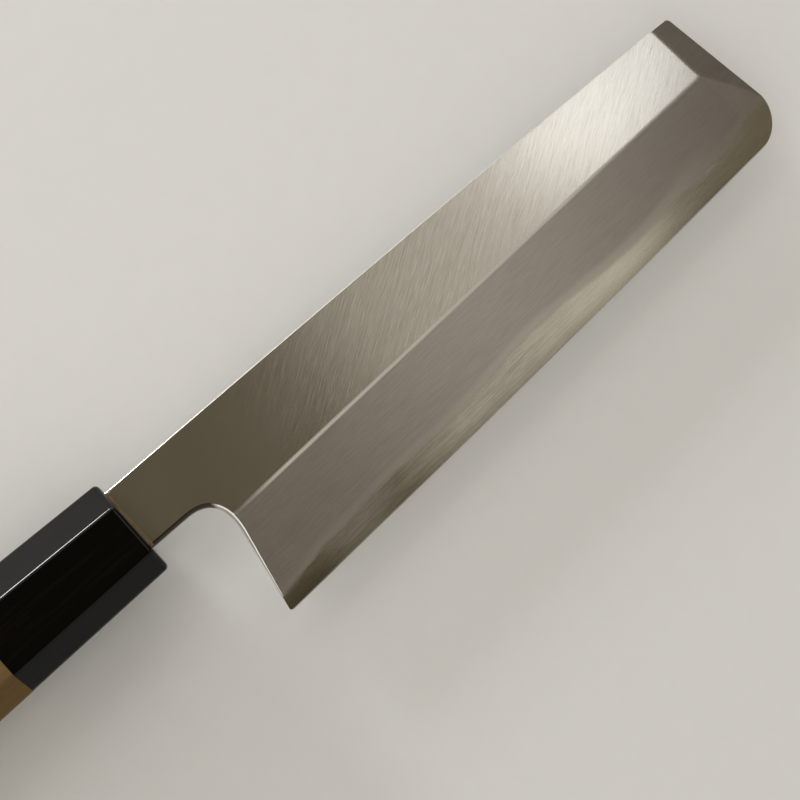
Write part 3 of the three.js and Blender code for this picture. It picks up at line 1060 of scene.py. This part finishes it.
def hollow_back():
    """Wheel marks across the blade in the hollow, and a flat rim stoned bright."""
    material, shader, where = start_finish("hollow_back")
    wheel = noise(where, (10, 0.2, 4), turn=WHEEL_TURN, shift=13)
    waves = noise(where, (24, 2.5, 4), turn=WHEEL_TURN, shift=31)
    sunk = rise(axes(where)[2] - BACK_Z, *SUNK)
    marks = blend(wheel * 0.6 + waves * 0.4, WHEEL_DARK, WHEEL_BRIGHT)
    set_shader(shader, {
        "Base Color": blend(sunk, STONED_RIM, marks),
        "Metallic": 1,
        "Roughness": 0.2 + 0.14 * sunk * wheel,
        "Normal": ridges(wheel + waves * 0.5, 0.003),
    })
    return material


iron_finishes = (satin_flat(), stoned_bevel("stoned_iron"), polished_rim("iron_rim"))
steel_finishes = (stoned_bevel("stoned_steel"), hollow_back(), polished_rim("steel_side"))
finished(blade_body, "blade_iron", "blade_iron", *iron_finishes)
finished(edge_layer, "edge_steel", "edge_steel", *steel_finishes)

# %% [markdown]
# ## Ferrule and handle
# Both are planed from one tapering octagon, with wider corner facets on the spine's side. One rule
# makes both, so one Geometry Nodes tree holds it: a rectangle gets its corners cut and eased, is
# swept along the axis, spreads towards the butt and is rounded in at either end. A modelled cube
# with bevels would do, but its facets would change with every size.

# %% The section, swept along the axis
BAR_INPUTS = (
    "Back", "Front", "Mouth Height", "Mouth Width", "Height Growth", "Width Growth",
    "Spine Corner", "Edge Corner", "Facet Round", "Front Round", "Back Round",
)
END_STEPS = 6
CORNER_STEPS = 5


def swept_section(tree, given):
    """The octagon at the mouth, swept along a path whose points crowd at the two ends.

    The sweep turns the section round, so its -x side becomes the spine's side."""
    size = {"Width": given["Mouth Height"], "Height": given["Mouth Width"]}
    section = Wire.node(tree, "GeometryNodeCurvePrimitiveQuadrilateral", {"mode": "RECTANGLE"}, size)
    spine_side = axes(Wire.node(tree, "GeometryNodeInputPosition"))[0].math("LESS_THAN", 0)
    corner = given["Edge Corner"] + (given["Spine Corner"] - given["Edge Corner"]) * spine_side
    for count, radius in ((1, corner), (CORNER_STEPS, given["Facet Round"])):
        cut = {"Curve": section, "Count": count, "Radius": radius}
        section = Wire.node(tree, "GeometryNodeFilletCurve", {"mode": "POLY"}, cut)
    path = Wire.node(tree, "GeometryNodeCurvePrimitiveLine", {}, {"End": (1, 0, 0)})
    points = {"Curve": path, "Count": 2 * END_STEPS}
    path = Wire.node(tree, "GeometryNodeResampleCurve", {"mode": "COUNT"}, points)
    index = Wire.node(tree, "GeometryNodeInputIndex")
    step = math.pi / 2 / (END_STEPS - 1)
    to_end = 2 * END_STEPS - 1 - index
    from_back = given["Back"] + given["Back Round"] * (1 - (index * step).math("COSINE"))
    from_front = given["Front"] - given["Front Round"] * (1 - (to_end * step).math("COSINE"))
    first_half = index.math("LESS_THAN", END_STEPS - 0.5)
    station = from_front + (from_back - from_front) * first_half
    spot = Wire.node(tree, "ShaderNodeCombineXYZ", {}, {"X": station})
    path = Wire.node(tree, "GeometryNodeSetPosition", {}, {"Geometry": path, "Position": spot})
    sweep = {"Curve": path, "Profile Curve": section, "Fill Caps": True}
    return Wire.node(tree, "GeometryNodeCurveToMesh", {}, sweep)


print("bar sizes:", BAR_INPUTS)

# %% Spread to the butt, rounded ends, and the whole tree
OCTAGON_INSET = math.sqrt(2) - 1


def shaped_ends(tree, given, bar):
    """Spreads the section towards the butt and draws it in at the rounded ends."""
    x, y, z = axes(Wire.node(tree, "GeometryNodeInputPosition"))
    inset = 0
    back_end = (x - given["Back"], given["Back Round"])
    front_end = (given["Front"] - x, given["Front Round"])
    for distance, radius in (back_end, front_end):
        out = (1 - distance / radius).math("MAXIMUM", 0)
        inset = inset + radius * (1 - (1 - out * out).math("SQRT"))
    beyond_z = abs(z) - given["Mouth Width"] / 2
    tall = (abs(y) - given["Mouth Height"] / 2).math("GREATER_THAN", beyond_z)
    across = inset * (OCTAGON_INSET + (1 - OCTAGON_INSET) * tall)
    deep = inset * (1 - (1 - OCTAGON_INSET) * tall)
    new_y = y + y.math("SIGN") * (-x * given["Height Growth"] - across)
    new_z = z + z.math("SIGN") * (-x * given["Width Growth"] - deep)
    spot = Wire.node(tree, "ShaderNodeCombineXYZ", {}, {"X": x, "Y": new_y, "Z": new_z})
    return Wire.node(tree, "GeometryNodeSetPosition", {}, {"Geometry": bar, "Position": spot})


def octagon_tree():
    """The tree: section, path, sweep, spread, ends."""
    tree = bpy.data.node_groups.new("octagon bar", "GeometryNodeTree")
    tree.interface.new_socket("Bar", in_out="OUTPUT", socket_type="NodeSocketGeometry")
    for name in BAR_INPUTS:
        tree.interface.new_socket(name, in_out="INPUT", socket_type="NodeSocketFloat")
    tree.interface.new_socket("Finish", in_out="INPUT", socket_type="NodeSocketMaterial")
    source = tree.nodes.new("NodeGroupInput")
    given = {socket.name: Wire(socket) for socket in source.outputs}
    bar = shaped_ends(tree, given, swept_section(tree, given))
    bar = Wire.node(tree, "GeometryNodeRealizeInstances", {}, {"Geometry": bar})
    bar = Wire.node(tree, "GeometryNodeSetMaterial", {}, {"Geometry": bar, "Material": given["Finish"]})
    result = tree.nodes.new("NodeGroupOutput")
    tree.links.new(bar.socket, result.inputs["Bar"])
    return tree


bar_tree = octagon_tree()
print("octagon tree of", len(bar_tree.nodes), "nodes")

# %% Bars from the tree
SPINE_CORNER = 6.7
EDGE_CORNER = 4.8
FACET_ROUND = 1.5
MOUTH_ROUND = 1.1
BUTT_ROUND = 1.2
SEAM_ROUND = 0.08

ferrule_low, ferrule_high = knife_box("horn_ferrule")
handle_low, handle_high = knife_box("wood_handle")
widest_x = handle_low.x + BUTT_ROUND
HEIGHT_GROWTH = (handle_high.y - ferrule_high.y) / (ferrule_low.x - widest_x)
WIDTH_GROWTH = (handle_high.z - ferrule_high.z) / (ferrule_low.x - widest_x)
OCTAGON = {
    "Mouth Height": 2 * (ferrule_high.y + HEIGHT_GROWTH * ferrule_low.x),
    "Mouth Width": 2 * (ferrule_high.z + WIDTH_GROWTH * ferrule_low.x),
    "Height Growth": HEIGHT_GROWTH,
    "Width Growth": WIDTH_GROWTH,
    "Spine Corner": SPINE_CORNER,
    "Edge Corner": EDGE_CORNER,
    "Facet Round": FACET_ROUND,
}


def octagon_bar(name, finish, **sizes):
    """A baked bar of the octagon between two stations."""
    piece = mesh_piece(name, [], [])
    grow = piece.modifiers.new("octagon", "NODES")
    grow.node_group = bar_tree
    inputs = [item for item in bar_tree.interface.items_tree if item.in_out == "INPUT"]
    sockets = {item.name: item.identifier for item in inputs}
    for key, value in {**OCTAGON, **sizes, "Finish": finish}.items():
        grow[sockets[key]] = value
    bake(piece)
    return piece


print("octagon at the mouth:", {key: round(value, 3) for key, value in OCTAGON.items()})

# %% [markdown]
# ## Horn and wood
# The ferrule is black buffalo horn, buffed until it mirrors the room, with faint paler streaks
# along it. The handle is bare magnolia: straight fine grain, soft bands and short dark pores, all
# along the handle. Its colours carry painted shade and are far darker than bare magnolia.


# %% Buffalo horn and magnolia
HORN_BLACK = (0.0012, 0.0012, 0.001)
HORN_STREAK = (0.004, 0.0035, 0.0025)
# The wood colours carry painted shade: far darker than bare magnolia.
SHADED_WOOD_LIGHT = (0.165, 0.098, 0.035)
SHADED_WOOD_DARK = (0.115, 0.066, 0.022)
SHADED_WOOD_GRAIN = (0.22, 0.138, 0.054)
SHADED_PORE_BROWN = (0.07, 0.04, 0.013)


def buffalo_horn():
    """Nearly black, polished, with faint streaks that only show in strong light."""
    material, shader, where = start_finish("buffalo_horn")
    streaks = noise(where, (28, 1.4, 1.4), shift=19, detail=3)
    haze = noise(where, (5, 3, 3), shift=37)
    set_shader(shader, {
        "Base Color": blend(rise(streaks, 0.5, 0.75), HORN_BLACK, HORN_STREAK),
        "Roughness": 0.06 + 0.06 * haze,
        "Specular IOR Level": 0.25,
        "Normal": ridges(streaks + haze, 0.002),
    })
    return material


def magnolia_wood():
    """Bare sanded wood: bands of growth, fine grain and short pores, in colours darkened by painted
    shade.
    """
    material, shader, where = start_finish("magnolia_wood")
    bands = noise(where, (160, 3.2, 3.2), shift=41, detail=3)
    grain = noise(where, (24, 0.3, 0.3), shift=43)
    pores = rise(noise(where, (3.5, 0.16, 0.16), shift=47, detail=1), 0.6, 0.75)
    honey = blend(rise(bands, 0.3, 0.7), SHADED_WOOD_LIGHT, SHADED_WOOD_DARK)
    set_shader(shader, {
        "Base Color": blend(pores * 0.6, blend(grain * 0.5, honey, SHADED_WOOD_GRAIN), SHADED_PORE_BROWN),
        "Roughness": 0.55 + 0.15 * grain,
        "Specular IOR Level": 0.2,
        "Normal": ridges(grain - pores * 0.6, 0.02),
    })
    return material


horn = buffalo_horn()
wood = magnolia_wood()
print("finishes:", horn.name, "and", wood.name)

# %% The ferrule with its recess, slot and socket
FIT_GAP = 0.3
END_GAP = 0.8
TENON_RADIUS = 6.25
TENON_SIDES = 48

seal_low, seal_high = knife_box("mouth_seal")


def peg(name, from_x, to_x, radius):
    """A round bar along the handle's axis."""
    turns = [2 * math.pi * i / TENON_SIDES for i in range(TENON_SIDES)]
    ends = [[(x, radius * math.cos(t), radius * math.sin(t)) for t in turns] for x in (from_x, to_x)]
    return lofted(name, ends)


ferrule_ends = {"Front Round": MOUTH_ROUND, "Back Round": SEAM_ROUND}
ferrule = octagon_bar("octagon_ferrule", horn, Back=ferrule_low.x, Front=0, **ferrule_ends)
socket_end = handle_high.x + END_GAP
carve(ferrule, "DIFFERENCE", peg("socket", ferrule_low.x - END_GAP, socket_end, TENON_RADIUS + FIT_GAP))
carve(ferrule, "DIFFERENCE", tang_bar("slot", handle_high.x, seal_low.x + END_GAP, FIT_GAP))
carve(ferrule, "DIFFERENCE", block("recess", seal_low, (END_GAP, seal_high.y, seal_high.z)))
to_frame(ferrule)
clean_shading(ferrule, SHARP_EDGE)
finished(ferrule, "horn_ferrule", "horn", horn)

# %% The handle with its tenon and tang hole
handle_ends = {"Front Round": SEAM_ROUND, "Back Round": BUTT_ROUND}
handle = octagon_bar("octagon_handle", wood, Back=handle_low.x, Front=ferrule_low.x, **handle_ends)
carve(handle, "UNION", peg("tenon", ferrule_low.x - 2 * TENON_RADIUS, handle_high.x, TENON_RADIUS))
carve(handle, "DIFFERENCE", tang_bar("hole", TANG_END_X - END_GAP, handle_high.x + END_GAP, FIT_GAP))
to_frame(handle)
clean_shading(handle, SHARP_EDGE)
finished(handle, "wood_handle", "wood", wood)

# %% [markdown]
# ## The resin at the mouth
# Where the neck enters the ferrule the maker runs in a honey-coloured resin, to keep water out. It
# fills the recess and stands out as a thin hollow bead along the flat and the back. A hand lays it,
# so the bead's size wanders a little along its length.

# %% Resin ring and beads
BEAD_WIDTH = 0.85
BEAD_STEPS = 24
BEAD_ARC = 6
BEAD_INSET = 0.2
BEAD_ROOT = -0.3
SLOW_WANDER = (0.12, 5.1)
QUICK_WANDER = (0.07, 17)
RESIN_GAP = 0.02
RESIN_DARK = (0.12, 0.072, 0.026)
RESIN_LIGHT = (0.26, 0.175, 0.075)


def resin_bead(name, side):
    """A bead along the flat or the back, with a hollow face from the horn to the neck."""
    skin = -BACK_Z + RESIN_GAP
    turns = [math.pi / 2 * k / BEAD_ARC for k in range(BEAD_ARC + 1)]
    sections = []
    for i in range(BEAD_STEPS + 1):
        share = i / BEAD_STEPS
        y = NECK_LOW + BEAD_INSET + (NECK_HEIGHT - 2 * BEAD_INSET) * share
        slow = SLOW_WANDER[0] * math.sin(SLOW_WANDER[1] * share + side)
        size = 1 + slow + QUICK_WANDER[0] * math.sin(QUICK_WANDER[1] * share)
        reach = seal_high.x * size
        width = BEAD_WIDTH * size
        face = [(reach * (1 - math.sin(t)), skin + width * (1 - math.cos(t))) for t in turns]
        profile = [(BEAD_ROOT, skin), *face, (BEAD_ROOT, face[-1][1])]
        sections.append([(x, y, z * side) for x, z in profile])
    return lofted(name, sections)


def honey_resin():
    """Clouded resin that has darkened a little, glossy on top."""
    material, shader, where = start_finish("honey_resin")
    cloud = noise(where, (2.5, 1.2, 1.2), shift=53, detail=3)
    set_shader(shader, {
        "Base Color": blend(cloud, RESIN_DARK, RESIN_LIGHT),
        "Roughness": 0.28 + 0.2 * cloud,
        "Coat Weight": 0.3,
        "Normal": ridges(cloud, 0.05),
    })
    return material


seal = block("resin_seal", seal_low, (0, seal_high.y, seal_high.z))
neck_low = (seal_low.x - END_GAP, NECK_LOW - RESIN_GAP, BACK_Z - RESIN_GAP)
neck_high = (END_GAP, SPINE_OFFSET + RESIN_GAP, -BACK_Z + RESIN_GAP)
carve(seal, "DIFFERENCE", block("neck", neck_low, neck_high))
for side in (1, -1):
    bead = resin_bead("bead", side)
    shell = bmesh.new()
    shell.from_mesh(bead.data)
    bmesh.ops.recalc_face_normals(shell, faces=shell.faces)
    shell.to_mesh(bead.data)
    shell.free()
    carve(seal, "UNION", bead)
to_frame(seal)
clean_shading(seal, SHARP_EDGE)
finished(seal, "mouth_seal", "resin", honey_resin())

# %% [markdown]
# ## Floor and light
# A satin blade is a picture of its surroundings, so the room is built round what it mirrors.
# Straight above hangs a dark ceiling, which keeps the neck dark, with two small softboxes: one
# beyond the tip, which brightens the flat there, and a weaker, warmer one that the middle of the
# blade mirrors. Wide banks stand behind the handle, beside the spine and before the edge, for the
# rims, the wood and the floor. A low strip draws the spine's bright line, and a small low key draws
# the line on the horn.

# %% A pale floor
FLOOR_SIZE = 4
FLOOR_DROP = 0.5
HORIZON = (0.5, 0.49, 0.47)
GLOW = (350, 1200)
PAPER_DARK = (0.86, 0.86, 0.855)
PAPER_LIGHT = (0.89, 0.89, 0.885)
SEEN_BY = ("Is Camera Ray", "Is Glossy Ray", "Is Transmission Ray")


def pale_paper():
    """A plain pale paper with the faintest tooth. Far off it takes the horizon's colour."""
    material, shader, where = start_finish("pale_paper")
    tree = material.node_tree
    tooth = noise(where, (6, 6, 6), shift=61)
    set_shader(shader, {"Base Color": blend(tooth, PAPER_DARK, PAPER_LIGHT), "Roughness": 0.9})
    x, y, _ = axes(where)
    away = (x * x + y * y).math("SQRT")
    seen = sum(Wire.node(tree, "ShaderNodeLightPath", out=kind) for kind in SEEN_BY)
    far = rise(away, *GLOW) * seen
    glow = Wire.node(tree, "ShaderNodeEmission", {}, {"Color": (*HORIZON, 1)})
    mixed = Wire.node(tree, "ShaderNodeMixShader", {}, {0: far, 1: Wire(shader.outputs[0]), 2: glow})
    tree.links.new(mixed.socket, tree.nodes["Material Output"].inputs["Surface"])
    return material


half = FLOOR_SIZE / 2 / MM
floor_z = (cad_low[2] - MOUTH.z) / MM - FLOOR_DROP
corners = [(x, y, floor_z) for x, y in ((-half, -half), (half, -half), (half, half), (-half, half))]
floor = mesh_piece("floor", corners, [(0, 1, 2, 3)])
to_frame(floor)
floor.data.materials.append(pale_paper())
print("floor at z =", round(floor_z, 2), "mm from the mouth")

# %% The room and its lamps
CEILING = (0.108, 0.088, 0.053)
HORIZON_TOP = 0.05
CEILING_FROM = 0.3
BLADE_MIDDLE = (90, 0, 0)
PICTURE_RIGHT = Vector((0.7277, -0.6609, 0))
ALONG_BLADE = Vector((1, 0, 0))
ACROSS_BLADE = Vector((0, 1, 0))
WHITE = (1, 1, 1)
WARM = (1, 0.96, 0.85)
SOFT_WHITE = (1, 0.985, 0.96)

world = bpy.data.worlds.new("studio")
scene.world = world
world.use_nodes = True
sky = Wire.node(world.node_tree, "ShaderNodeTexCoord", out="Generated")
height = axes(sky)[2]
stops = [(HORIZON_TOP, HORIZON), (CEILING_FROM, CEILING)]
glow = Wire.node(world.node_tree, "ShaderNodeValToRGB", {"stops": stops}, {"Fac": height})
world.node_tree.links.new(glow.socket, world.node_tree.nodes["Background"].inputs["Color"])


def softbox(name, direction, distance, size, power, colour, level):
    """A rectangular lamp facing the middle of the blade. Its width runs along the level direction."""
    light = bpy.data.lights.new(name, "AREA")
    light.shape = "RECTANGLE"
    light.size, light.size_y = size
    light.energy = power
    light.color = colour
    lamp = bpy.data.objects.new(name, light)
    scene.collection.objects.link(lamp)
    away = Vector(direction).normalized()
    right = (level - level.dot(away) * away).normalized()
    lamp.location = place(*BLADE_MIDDLE) + away * distance
    lamp.rotation_euler = Matrix((right, away.cross(right), away)).transposed().to_euler()
    print("lamp", name, "of", power, "W")


# Each lamp: name, direction, distance and size in metres, watts, colour, direction of its width.
LAMPS = (
    ("tip_box", (0.723, 0.113, 1), 0.8, (0.177, 0.19), 0.153, WHITE, PICTURE_RIGHT),
    ("middle_box", (0.411, -0.129, 1), 0.78, (0.306, 0.574), 0.245, WARM, ALONG_BLADE),
    ("handle_bank", (-1, 0.1, 0.8), 1.6, (2.8, 1.7), 16.5, SOFT_WHITE, ACROSS_BLADE),
    ("spine_bank", (0.3, 1.2, 0.7), 1.5, (2.6, 1.3), 9.2, SOFT_WHITE, ALONG_BLADE),
    ("front_bank", (0.1, -1.2, 0.7), 1.6, (2.8, 0.9), 3.8, SOFT_WHITE, ALONG_BLADE),
    ("spine_strip", (0.25, 1, 0.2), 2.1, (3, 0.35), 11, SOFT_WHITE, ALONG_BLADE),
    ("ferrule_key", (-0.13, 0.977, 0.171), 2, (0.4, 0.4), 20, SOFT_WHITE, ALONG_BLADE),
)
for lamp in LAMPS:
    softbox(*lamp)

# %% [markdown]
